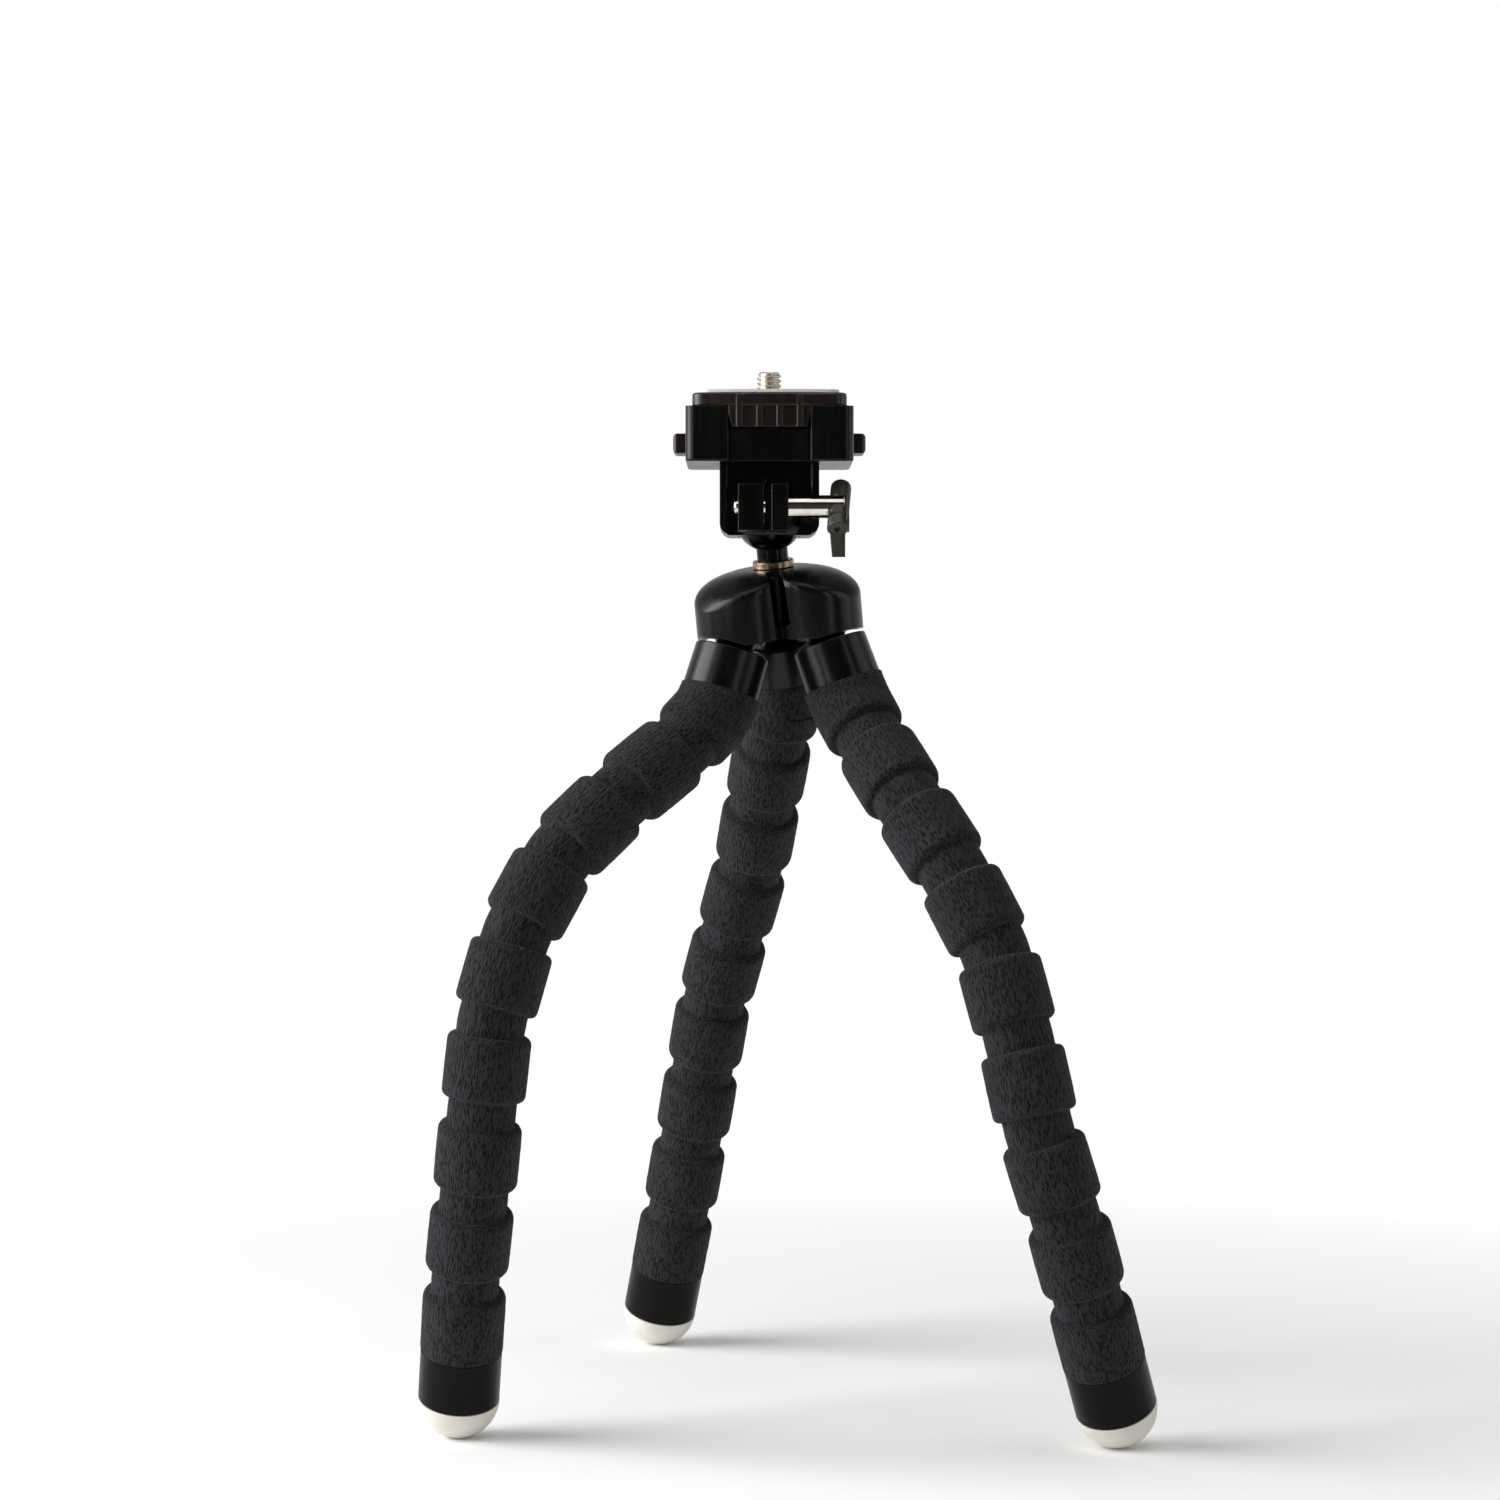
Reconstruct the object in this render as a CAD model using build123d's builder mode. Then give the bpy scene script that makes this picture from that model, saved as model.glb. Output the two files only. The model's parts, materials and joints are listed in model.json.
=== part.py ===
from build123d import *
import os
from math import acos, asin, cos, degrees, radians, sin, sqrt, tan

# A small tripod with three bendable foam legs and a ball head with a quick release plate.
# Millimetres. +Z is up, +Y points away from the viewer, the feet stand on Z = 0.

# Foam legs
segment_count = 9
foam_radius = 10.5
foam_length = 16.3
groove_width = 6.4
groove_radius = 8.6
foam_rim = 1.8
collar_rim = 0.4
foam_gap = 0.3
first_bend = 5.0

# Bendable core of a leg
core_radius = 1.9
core_bore = 3.0
core_bend = 2.5
flare_angle = 30
flare_start = 1.0
flare_length = 9.0
cut_overrun = 1.0
ferrule_radius = 2.8
ferrule_length = 2.5
core_stub = 0.4

# Collar at the top of a leg
collar_length = 10.9
collar_top_radius = 9.75
collar_base_radius = 10.05
collar_wall = 1.15
collar_roof = 1.8
collar_gap = 5.0
collar_ball = 6.2
collar_waist = 4.3
collar_flare = 8.2
collar_flare_height = 0.4
collar_clearance = 1.0
plug_fit = 0.1

# End cap and foot
cap_radius = 10.35
cap_length = 13.7
cap_wall = 1.6
cap_rim = 0.5
foot_radius = 10.4
foot_plug_length = 6.0
core_in_cap = 5.0

# Hub: a domed shell with three lobes, leaning a little to the left and to the viewer
hub_roll = 5
hub_pitch = 9
hub_height = 17.0
skirt_height = 6.5
lobe_ring = 10.8
lobe_radius = 12.2
hub_core_radius = 12.6
hub_flat_radius = 6.0
dome_margin = 0.5
dome_fillet = 2.5
hub_wall = 1.8
hub_slot_width = 3.8
hub_slot_floor = 11.7
base_recess = 1.6
base_thickness = 2.5
base_fit = 0.15
cup_wall = 1.4
ball_end_gap = 0.1
cup_mouth = 1.9
pivot_height = 1.6
pivot_ring = 12.7
first_lobe = 93

# Hub screws
post_ring = 8.6
post_radius = 2.4
hub_screw_radius = 1.1
hub_screw_head = 1.85
hub_screw_head_height = 1.4
hub_screw_length = 8.0
screw_fit = 0.06

# Ball stud
ball_radius = 9.1
neck_radius = 4.05
ball_rise = 11.3
washer_radius = 5.35
washer_thickness = 2.0
washer_chamfer = 0.25
shank_radius = 2.95
shank_length = 6.0
nut_flats = 10.0
nut_thickness = 3.0
running_gap = 0.08
seat_gap = 0.1

# Liner and socket
liner_thickness = 0.4
liner_gap = 0.06
liner_drop = 2.0
socket_width = 25.5
socket_front = 12.0
socket_back = 11.5
socket_drop = 5.2
socket_rise = 13.2
socket_side_wall = 1.9
socket_pocket = 3.5
socket_corner = 3.0
cover_radius = 11.9

# Clamp lug and its slit
lug_left = 8.0
lug_right = 4.7
lug_front = 18.8
lug_top = 7.5
lug_bottom = 4.4
slit_left = 1.5
slit_width = 0.4
slit_top = 9.4
step_width = 2.0
step_depth = 1.4

# Lock screw and lever
screw_depth = 15.2
screw_height = 1.8
thread_radius = 1.95
thread_tip = 1.1
tip_dome = 0.8
rod_radius = 2.95
rod_end = 19.4
rod_chamfer = 0.4
shoulder_gap = 0.05
lever_lean = 42
lever_azimuth = 263
lever_radius = 2.65
lever_half_length = 8.2
lever_centre = 17.8
lever_top_rounding = 1.6
lever_rounding = 0.4
dimple_radius = 0.8
dimple_depth = 0.8
cheek_thickness = 0.8
tail_left = 14.9
tail_right = 19.2
tail_tip_left = 15.9
tail_front = 5.2
tail_back = 1.0
tail_tip_front = 4.2
tail_tip_back = 1.6
tail_top = 1.5
tail_tip = 12.9
lever_fit = 0.02

# Clamp body that holds the quick release plate
clamp_width = 42.8
clamp_depth = 39.0
clamp_height = 14.1
clamp_floor = 2.4
clamp_side_wall = 3.4
clamp_end_wall = 3.5
clamp_gap_half = 10.6
clamp_panel_drop = 5.8
clamp_panel_inset = 1.4
clamp_panel_bow = 1.1
clamp_corner = 2.6
clamp_edge = 0.6
deck_thickness = 1.4
deck_slot_length = 5.6
deck_slot_width = 7.0
deck_notch = 4.4
clamp_screw_x = 10.0
clamp_screw_y = 6.8
clamp_screw_radius = 1.2
clamp_screw_head = 2.1
clamp_screw_head_height = 1.2
clamp_screw_length = 7.0

# Release buttons
button_reach = 3.4
button_height = 5.1
button_width = 12.0
button_rounding = 1.1
button_bottom = 2.8
button_slot_fit = 0.15
slider_height = 3.4
slider_inner = 6.6
slider_width = 16.0
slider_play = 0.3
latch_inner = 9.4
latch_outer = 12.0
latch_width = 6.0
latch_rise = 3.4
latch_lip = 1.6
latch_lip_height = 1.1
spring_radius = 1.1
spring_wire = 0.3
spring_turns = 9
spring_offset = 4.5
spring_pocket = 1.6
spring_seat = 0.2

# Quick release plate
plate_width = 39.4
plate_depth = 37.0
plate_proud = 3.4
plate_corner = 3.2
plate_bow = 1.6
plate_edge = 0.7
plate_roof = 3.2
plate_wall = 2.2
plate_fit = 0.2
plate_bottom_wall = 1.5
ledge_inner = 12.4
plate_window_width = 8.0
tongue_half = 10.4
tongue_foot_half = 9.4
tongue_drop = 9.0
tongue_thickness = 3.2
tongue_corner = 1.2
rib_count = 4
rib_spacing = 5.15
rib_width = 1.4
rib_height = 0.45
pad_inset = 1.8
pad_thickness = 0.9
pad_recess = 0.2
pad_hole = 5.6

# Camera screw, a quarter inch with 20 threads to the inch
camera_radius = 3.175
camera_length = 5.6
camera_tip_chamfer = 0.5
camera_relief = 2.6
camera_head_radius = 7.0
camera_head_height = 1.8
camera_slot_width = 1.4
camera_slot_depth = 1.0
ring_outer = 4.8
ring_thickness = 0.6
ring_recess = 0.3

# Rest pose of the legs: lean from straight down and azimuth from +X, in degrees
leg_names = ("left", "right", "back")
lobe_angle = {"left": first_lobe + 120, "right": first_lobe + 240, "back": first_lobe}
collar_heading = {"left": (18, 206), "right": (20, 343), "back": (27, 72)}
segment_heading = {
    "left": ((52, 223), (56, 214), (50, 210), (32, 211), (17, 204), (7, 157), (13, 117), (18, 112), (18, 104)),
    "right": ((44, 303), (48, 302), (42, 315), (32, 325), (20, 315), (14, 329), (18, 16), (23, 47), (26, 55)),
    "back": ((32, 113), (39, 102), (37, 103), (32, 116), (31, 116), (26, 110), (22, 114), (21, 117), (21, 119)),
}
settling_segment = 1

# Lengths along a leg that follow from the sizes above
half_groove = groove_width / 2
pitch = foam_length + groove_width
first_length = foam_length + half_groove
last_length = half_groove + foam_length + cap_length
collar_reach = collar_gap + collar_length


def heading(lean, azimuth):
    """The unit vector that points down a leg at this lean and azimuth."""
    flat = sin(radians(lean))
    return Vector(flat * cos(radians(azimuth)), flat * sin(radians(azimuth)), -cos(radians(lean)))


def side_plane(origin, direction):
    """A plane whose local Y runs along the direction, for profiles that turn about it."""
    frame = Plane(origin=origin, z_dir=direction)
    return Plane(origin=origin, x_dir=frame.x_dir, z_dir=-frame.y_dir)


def save(part, name):
    part.label = name
    export_step(part, f"parts/{name}.step")


def hub_frame(origin):
    """The hub's own plane: its Z is the hub's axis."""
    roll, nod = radians(hub_roll), radians(hub_pitch)
    up = Vector(-sin(roll) * cos(nod), -sin(nod), cos(roll) * cos(nod))
    return Plane(origin=origin, x_dir=(cos(roll), 0, sin(roll)), z_dir=up)


def leg_chain(hub, leg, leans):
    """The pivot at the hub, the collar's mouth, the hinge points, the foot and the directions."""
    angle = radians(lobe_angle[leg])
    pivot = hub.from_local_coords(
        Vector(pivot_ring * cos(angle), pivot_ring * sin(angle), pivot_height)
    )
    collar = heading(*collar_heading[leg])
    mouth = pivot + collar * collar_reach
    ways = [heading(lean, azimuth) for lean, (_, azimuth) in zip(leans, segment_heading[leg])]
    hinges = [mouth + collar * first_bend + ways[0] * (first_length - first_bend)]
    for way in ways[1:-1]:
        hinges.append(hinges[-1] + way * pitch)
    foot = hinges[-1] + ways[-1] * last_length
    return pivot, collar, mouth, ways, hinges, foot


# The left leg sets the hub's height. The other two lean a little more or less to reach the floor.
level_hub = hub_frame((0, 0, 0))
leans = {leg: [lean for lean, _ in segment_heading[leg]] for leg in leg_names}
drop = {leg: -leg_chain(level_hub, leg, leans[leg])[5].Z for leg in leg_names}
for leg in leg_names:
    settled = cos(radians(leans[leg][settling_segment])) + (drop["left"] - drop[leg]) / pitch
    leans[leg][settling_segment] = degrees(acos(settled))
hub_rise = drop["left"] + foot_radius

# The origin is under the middle of the object's outline, seen from above.
chains = {leg: leg_chain(level_hub, leg, leans[leg]) for leg in leg_names}


def reach(leg, sign, along):
    """How far a leg's foam and foot reach along X or Y."""
    pivot, collar, mouth, ways, hinges, foot = chains[leg]
    ends = [foot.dot(along) * sign + foot_radius]
    for way, hinge in zip(ways[1:], hinges):
        middle = hinge + way * (half_groove + foam_length / 2)
        lean = abs(way.dot(along))
        body = (foam_length / 2 - foam_rim) * lean + (foam_radius - foam_rim) * sqrt(1 - lean**2)
        ends.append(middle.dot(along) * sign + body + foam_rim)
    return max(ends)


across, away = Vector(1, 0, 0), Vector(0, 1, 0)
middle_x = (max(reach(leg, 1, across) for leg in leg_names) - max(reach(leg, -1, across) for leg in leg_names)) / 2
middle_y = (max(reach(leg, 1, away) for leg in leg_names) - max(reach(leg, -1, away) for leg in leg_names)) / 2
hub = hub_frame((-middle_x, -middle_y, hub_rise))
hub_axis = Axis(hub.origin, hub.z_dir)
chains = {leg: leg_chain(hub, leg, leans[leg]) for leg in leg_names}
ball_centre = hub.from_local_coords(Vector(0, 0, hub_height + washer_thickness + ball_rise))
head = Plane(origin=ball_centre)

os.makedirs("parts", exist_ok=True)


# Foam leg segments
def flare_outline(length):
    """The widening mouth of a bore, so that the core can bend there: from the hinge down."""
    wide = core_bore + length * tan(radians(flare_angle))
    return ((0, 0), (core_bore, 0), (wide, length), (0, length), (0, 0))


def foam_profile(last):
    """One foam ring with its neck, as a half section: X is the radius and Y runs down the leg."""
    recess = groove_radius + foam_gap
    recess_start = degrees(asin(half_groove / recess))
    recess_end = degrees(acos(core_bore / recess))
    foot_line = half_groove + foam_length
    with BuildLine() as outline:
        CenterArc((0, 0), recess, recess_start, recess_end - recess_start)
        mouth_x = sqrt(recess**2 - half_groove**2)
        Line((mouth_x, half_groove), (foam_radius, half_groove))
        Line((foam_radius, half_groove), (foam_radius, foot_line))
        if last:
            Line((foam_radius, foot_line), (core_bore, foot_line))
            end = (core_bore, foot_line)
        else:
            Line((foam_radius, foot_line), (groove_radius, foot_line))
            Line((groove_radius, foot_line), (groove_radius, pitch))
            tip = degrees(acos(core_bore / groove_radius))
            CenterArc((0, pitch), groove_radius, 0, tip)
            end = (core_bore, pitch + sqrt(groove_radius**2 - core_bore**2))
        Line(end, (core_bore, sqrt(recess**2 - core_bore**2)))
    return outline.line


for leg in leg_names:
    pivot, collar, mouth, ways, hinges, foot = chains[leg]
    bend_start, bend_middle = mouth, mouth + collar * first_bend
    bend_end = bend_middle + ways[0] * first_bend
    bulge_end = bend_middle + ways[0] * (foam_length - first_bend)
    plug_length = collar_length - collar_roof - plug_fit
    with BuildPart() as foam:
        with BuildLine() as bent_path:
            TangentArc(bend_start, bend_end, tangent=collar)
            Line(bend_end, bulge_end)
        with BuildSketch(Plane(origin=mouth, z_dir=collar)):
            Circle(foam_radius)
        sweep(path=bent_path.wires()[0])
        fillet(foam.edges().filter_by(GeomType.CIRCLE).sort_by_distance(bulge_end)[0], radius=foam_rim)
        with BuildSketch(Plane(origin=mouth, z_dir=-collar)):
            Circle(collar_base_radius - collar_wall - plug_fit)
        extrude(amount=plug_length)
        with BuildSketch(Plane(origin=bulge_end, z_dir=ways[0])):
            Circle(groove_radius)
        extrude(amount=half_groove)
        with Locations(hinges[0]):
            Sphere(groove_radius)
        bore_start = mouth - collar * (plug_length + cut_overrun)
        bend_radius = first_bend / tan(radians(collar.get_angle(ways[0])) / 2)
        with BuildLine() as bore_path:
            FilletPolyline(bore_start, bend_middle, hinges[0] + ways[0] * flare_start, radius=bend_radius)
        with BuildSketch(Plane(origin=bore_start, z_dir=collar)):
            Circle(core_bore)
        sweep(path=bore_path.wires()[0], mode=Mode.SUBTRACT)
        with BuildSketch(side_plane(hinges[0], ways[0])):
            with BuildLine():
                Polyline(*flare_outline(flare_length))
            make_face()
        revolve(axis=Axis(hinges[0], ways[0]), mode=Mode.SUBTRACT)
    save(foam.part, f"{leg}_foam_1")
    for number in range(1, segment_count):
        last = number == segment_count - 1
        start, way = hinges[number - 1], ways[number]
        with BuildPart() as foam:
            with BuildSketch(side_plane(start, way)) as profile:
                add(foam_profile(last))
                make_face()
                rims = profile.vertices().group_by(Axis.X)[-1].sort_by(Axis.Y)
                fillet(rims[:1] if last else rims, radius=foam_rim)
            revolve(axis=Axis(start, way))
            if not last:
                with BuildSketch(side_plane(hinges[number], way)):
                    with BuildLine():
                        Polyline(*flare_outline(flare_length))
                    make_face()
                revolve(axis=Axis(start, way), mode=Mode.SUBTRACT)
        save(foam.part, f"{leg}_foam_{number + 1}")

# Collars, which carry a leg's top end and swivel on a ball in the hub
for leg in leg_names:
    pivot, collar, mouth, ways, hinges, foot = chains[leg]
    with BuildPart() as collar_part:
        with BuildSketch(side_plane(pivot, collar)) as profile:
            with BuildLine():
                waist_y = sqrt(collar_ball**2 - collar_waist**2)
                top_y = -sqrt(collar_ball**2 - core_bore**2)
                start_angle = degrees(asin(top_y / collar_ball))
                CenterArc((0, 0), collar_ball, start_angle, degrees(asin(waist_y / collar_ball)) - start_angle)
                flare_y = collar_gap - collar_flare_height
                Polyline(
                    (collar_waist, waist_y),
                    (collar_waist, flare_y),
                    (collar_flare, collar_gap),
                    (collar_top_radius, collar_gap),
                    (collar_base_radius, collar_reach),
                    (collar_base_radius - collar_wall, collar_reach),
                    (collar_base_radius - collar_wall, collar_gap + collar_roof),
                    (core_bore, collar_gap + collar_roof),
                    (core_bore, top_y),
                )
            make_face()
            fillet(profile.vertices().sort_by_distance((collar_top_radius, collar_gap))[0], radius=collar_rim)
        revolve(axis=Axis(pivot, collar))
    save(collar_part.part, f"{leg}_collar")

# End caps and feet
for leg in leg_names:
    pivot, collar, mouth, ways, hinges, foot = chains[leg]
    way = ways[-1]
    cap_top = foot - way * cap_length
    plug_radius = cap_radius - cap_wall
    with BuildPart() as cap:
        with BuildSketch(Plane(origin=cap_top, z_dir=way)):
            Circle(cap_radius)
        extrude(amount=cap_length)
        fillet(cap.edges().filter_by(GeomType.CIRCLE).sort_by_distance(foot)[0], radius=cap_rim)
        with BuildSketch(Plane(origin=foot, z_dir=-way)):
            Circle(plug_radius)
        extrude(amount=foot_plug_length, mode=Mode.SUBTRACT)
        with BuildSketch(Plane(origin=cap_top, z_dir=way)):
            Circle(core_bore)
        extrude(amount=cap_length, mode=Mode.SUBTRACT)
    save(cap.part, f"{leg}_end_cap")
    with BuildPart() as foot_part:
        with BuildSketch(side_plane(foot, way)):
            with BuildLine():
                CenterArc((0, 0), foot_radius, 0, 90)
                Line((0, foot_radius), (0, -foot_plug_length + plug_fit))
                Line((0, -foot_plug_length + plug_fit), (plug_radius - plug_fit, -foot_plug_length + plug_fit))
                Line((plug_radius - plug_fit, -foot_plug_length + plug_fit), (plug_radius - plug_fit, 0))
                Line((plug_radius - plug_fit, 0), (foot_radius, 0))
            make_face()
        revolve(axis=Axis(foot, way))
    save(foot_part.part, f"{leg}_foot")

# Bendable core wires, each from the ferrule in the hub to the end cap
cup_radius = collar_ball + ball_end_gap + cup_wall
for leg in leg_names:
    pivot, collar, mouth, ways, hinges, foot = chains[leg]
    core_top = pivot - collar * (cup_radius + ferrule_length + core_stub)
    bend_middle = mouth + collar * first_bend
    core_end = foot - ways[-1] * (cap_length - core_in_cap)
    route = [core_top, bend_middle, *hinges, core_end]
    directions = [collar, *ways]
    tangents = [first_bend] + [core_bend] * len(hinges)
    radii = []
    for before, after, tangent in zip(directions, directions[1:], tangents):
        radii.append(tangent / tan(radians(before.get_angle(after)) / 2))
    with BuildPart() as core:
        with BuildLine() as core_path:
            FilletPolyline(*route, radius=radii)
        with BuildSketch(Plane(origin=core_top, z_dir=collar)):
            Circle(core_radius)
        sweep(path=core_path.wires()[0])
    save(core.part, f"{leg}_core_wire")


# Hub
def lobes(inset):
    """The plan of the hub: three round lobes about a round core, drawn in by an inset."""
    with BuildSketch(hub) as plan:
        with PolarLocations(lobe_ring, 3, start_angle=first_lobe):
            Circle(lobe_radius - inset)
        Circle(hub_core_radius - inset)
    return plan.sketch


def dome(inset):
    """The half section of the hub's dome, drawn in by an inset."""
    dome_radius = lobe_ring + lobe_radius + dome_margin
    with BuildSketch(side_plane(hub.origin, hub.z_dir)) as section:
        with BuildLine():
            Line((0, 0), (dome_radius - inset, 0))
            Line((dome_radius - inset, 0), (dome_radius - inset, skirt_height))
            EllipticalCenterArc(
                (hub_flat_radius, skirt_height),
                dome_radius - inset - hub_flat_radius,
                hub_height - inset - skirt_height,
                start_angle=0,
                arc_size=90,
            )
            Line((hub_flat_radius, hub_height - inset), (0, hub_height - inset))
            Line((0, hub_height - inset), (0, 0))
        make_face()
    return section.sketch


def screw_posts(radius):
    """Three round posts or holes in the valleys between the lobes."""
    with BuildSketch(hub) as plan:
        with PolarLocations(post_ring, 3, start_angle=first_lobe + 60):
            Circle(radius)
    return plan.sketch


with BuildPart() as hub_cavity:
    extrude(lobes(hub_wall), amount=hub_height)
    revolve(dome(hub_wall), axis=hub_axis, mode=Mode.INTERSECT)
with BuildPart() as hub_posts:
    extrude(screw_posts(post_radius), amount=hub_height)
    revolve(dome(hub_wall / 2), axis=hub_axis, mode=Mode.INTERSECT)
    extrude(screw_posts(hub_screw_radius + screw_fit), amount=hub_screw_length + base_recess, mode=Mode.SUBTRACT)
base_top = base_recess + base_thickness
with BuildPart() as hub_shell:
    extrude(lobes(0), amount=hub_height)
    revolve(dome(0), axis=hub_axis, mode=Mode.INTERSECT)
    fillet(hub_shell.edges().filter_by(GeomType.BSPLINE), radius=dome_fillet)
    for angle in (first_lobe + 60, first_lobe + 180, first_lobe + 300):
        slot = hub.rotated((0, 0, angle))
        with BuildSketch(slot):
            with Locations((hub_slot_floor + lobe_radius / 2, 0)):
                Rectangle(lobe_radius, hub_slot_width)
        extrude(amount=hub_height, mode=Mode.SUBTRACT)
    add(hub_cavity.part, mode=Mode.SUBTRACT)
    add(hub_posts.part)
    extrude(lobes(hub_wall), amount=base_top, mode=Mode.SUBTRACT)
    with BuildSketch(hub):
        Circle(shank_radius + running_gap)
    extrude(amount=hub_height, mode=Mode.SUBTRACT)
    for leg in leg_names:
        pivot, collar = chains[leg][:2]
        with BuildSketch(Plane(origin=pivot + collar * (collar_gap - collar_clearance), z_dir=collar)):
            Circle(collar_top_radius + collar_clearance)
        extrude(amount=collar_reach, mode=Mode.SUBTRACT)
save(hub_shell.part, "hub_shell")

with BuildPart() as hub_base:
    extrude(lobes(hub_wall + base_fit), amount=base_top)
    extrude(lobes(0), amount=base_recess, mode=Mode.SUBTRACT)
    for leg in leg_names:
        pivot, collar = chains[leg][:2]
        with Locations(pivot):
            Sphere(cup_radius)
        with BuildSketch(Plane(origin=pivot + collar * cup_mouth, z_dir=collar)):
            Circle(cup_radius)
        extrude(amount=cup_radius, mode=Mode.SUBTRACT)
        with Locations(pivot):
            Sphere(collar_ball + ball_end_gap, mode=Mode.SUBTRACT)
        with BuildSketch(Plane(origin=pivot, z_dir=-collar)):
            Circle(core_radius + ball_end_gap)
        extrude(amount=cup_radius + cut_overrun, mode=Mode.SUBTRACT)
    extrude(screw_posts(hub_screw_radius + screw_fit), amount=hub_height, mode=Mode.SUBTRACT)
    with BuildSketch(hub.offset(base_recess)):
        with PolarLocations(post_ring, 3, start_angle=first_lobe + 60):
            Circle(hub_screw_head + screw_fit)
    extrude(amount=hub_screw_head_height, mode=Mode.SUBTRACT)
save(hub_base.part, "hub_base")

with BuildPart() as hub_screws:
    with BuildSketch(hub.offset(base_recess)):
        with PolarLocations(post_ring, 3, start_angle=first_lobe + 60):
            Circle(hub_screw_radius)
    extrude(amount=hub_screw_length - screw_fit)
    with BuildSketch(hub.offset(base_recess)):
        with PolarLocations(post_ring, 3, start_angle=first_lobe + 60):
            Circle(hub_screw_head)
    extrude(amount=hub_screw_head_height - screw_fit)
save(hub_screws.part, "hub_screws")

with BuildPart() as core_ferrules:
    for leg in leg_names:
        pivot, collar = chains[leg][:2]
        with BuildSketch(Plane(origin=pivot - collar * (cup_radius + screw_fit), z_dir=-collar)):
            Circle(ferrule_radius)
            Circle(core_radius + lever_fit, mode=Mode.SUBTRACT)
        extrude(amount=ferrule_length)
save(core_ferrules.part, "core_ferrules")

# Ball stud with its washer and nut
with BuildPart() as stud_washer:
    with BuildSketch(hub.offset(hub_height)):
        Circle(washer_radius)
        Circle(shank_radius + running_gap, mode=Mode.SUBTRACT)
    extrude(amount=washer_thickness)
    washer_rims = stud_washer.edges().filter_by(GeomType.CIRCLE).group_by(SortBy.RADIUS)[-1]
    chamfer(washer_rims, length=washer_chamfer)
save(stud_washer.part, "stud_washer")

neck_base = hub_height + washer_thickness + seat_gap
with BuildPart() as ball_stud:
    with BuildSketch(hub.offset(neck_base)):
        Circle(neck_radius)
    extrude(amount=ball_rise)
    with Locations(ball_centre):
        Sphere(ball_radius)
    with BuildSketch(hub.offset(neck_base)):
        Circle(shank_radius)
    extrude(amount=-(hub_wall + washer_thickness + nut_thickness + seat_gap * 2 + shank_radius / 3))
save(ball_stud.part, "ball_stud")

with BuildPart() as stud_nut:
    with BuildSketch(hub.offset(hub_height - hub_wall - seat_gap)):
        RegularPolygon(nut_flats / 2, 6, major_radius=False)
        Circle(shank_radius + lever_fit, mode=Mode.SUBTRACT)
    extrude(amount=-nut_thickness)
save(stud_nut.part, "stud_nut")

# Liner cup between the ball and its socket
liner_inner = ball_radius + liner_gap
liner_outer = liner_inner + liner_thickness
cavity_radius = liner_outer + liner_gap
with BuildPart() as ball_liner:
    with Locations(ball_centre):
        Sphere(liner_outer)
    with Locations(ball_centre):
        Sphere(liner_inner, mode=Mode.SUBTRACT)
    with BuildSketch(head.offset(-liner_drop)):
        Circle(liner_outer + liner_thickness)
    extrude(amount=-liner_outer, mode=Mode.SUBTRACT)
save(ball_liner.part, "ball_liner")


def block(low, high, mode=Mode.ADD):
    """A box between two corners, in the head's own axes."""
    with BuildSketch(head.offset(low[2])) as base:
        with Locations(((low[0] + high[0]) / 2, (low[1] + high[1]) / 2)):
            Rectangle(high[0] - low[0], high[1] - low[1])
    extrude(base.sketch, amount=high[2] - low[2], mode=mode)


# Ball socket with the split lug
half_socket = socket_width / 2
screw_line = head.from_local_coords(Vector(0, -screw_depth, screw_height))
with BuildPart() as ball_socket:
    block((-half_socket, -socket_front, -socket_drop), (half_socket, socket_back, socket_rise))
    bottom_edges = ball_socket.edges().filter_by(Axis.Y).group_by(Axis.Z)[0]
    fillet(bottom_edges, radius=socket_corner)
    pocket = half_socket - socket_side_wall
    block((-pocket, -socket_front, -socket_drop), (pocket, -socket_front + socket_pocket, socket_rise), Mode.SUBTRACT)
    with Locations(ball_centre):
        Sphere(cover_radius)
    block((-lug_left, -lug_front, -lug_bottom), (lug_right, 0, lug_top))
    block((-cover_radius, -lug_front, -cover_radius), (cover_radius, cover_radius, -socket_drop), Mode.SUBTRACT)
    with Locations(ball_centre):
        Sphere(cavity_radius, mode=Mode.SUBTRACT)
    # The slit runs beside the left jaw, and the right jaw is stepped back next to it
    block((-slit_left, -lug_front, -socket_drop), (slit_width - slit_left, 0, slit_top), Mode.SUBTRACT)
    step_right = step_width - slit_left
    block((-slit_left, -lug_front, -socket_drop), (step_right, step_depth - lug_front, lug_top), Mode.SUBTRACT)
    block((-slit_left, -lug_front, lug_top - step_depth), (step_right, -cover_radius, lug_top), Mode.SUBTRACT)
    with BuildSketch(Plane(origin=screw_line, z_dir=(-1, 0, 0))):
        Circle(thread_radius + running_gap)
    extrude(amount=half_socket, both=True, mode=Mode.SUBTRACT)
    with BuildSketch(head.offset(socket_rise)):
        with GridLocations(2 * clamp_screw_x, 2 * clamp_screw_y, 2, 2):
            Circle(clamp_screw_radius + screw_fit)
    extrude(amount=-clamp_screw_length, mode=Mode.SUBTRACT)
save(ball_socket.part, "ball_socket")

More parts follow.
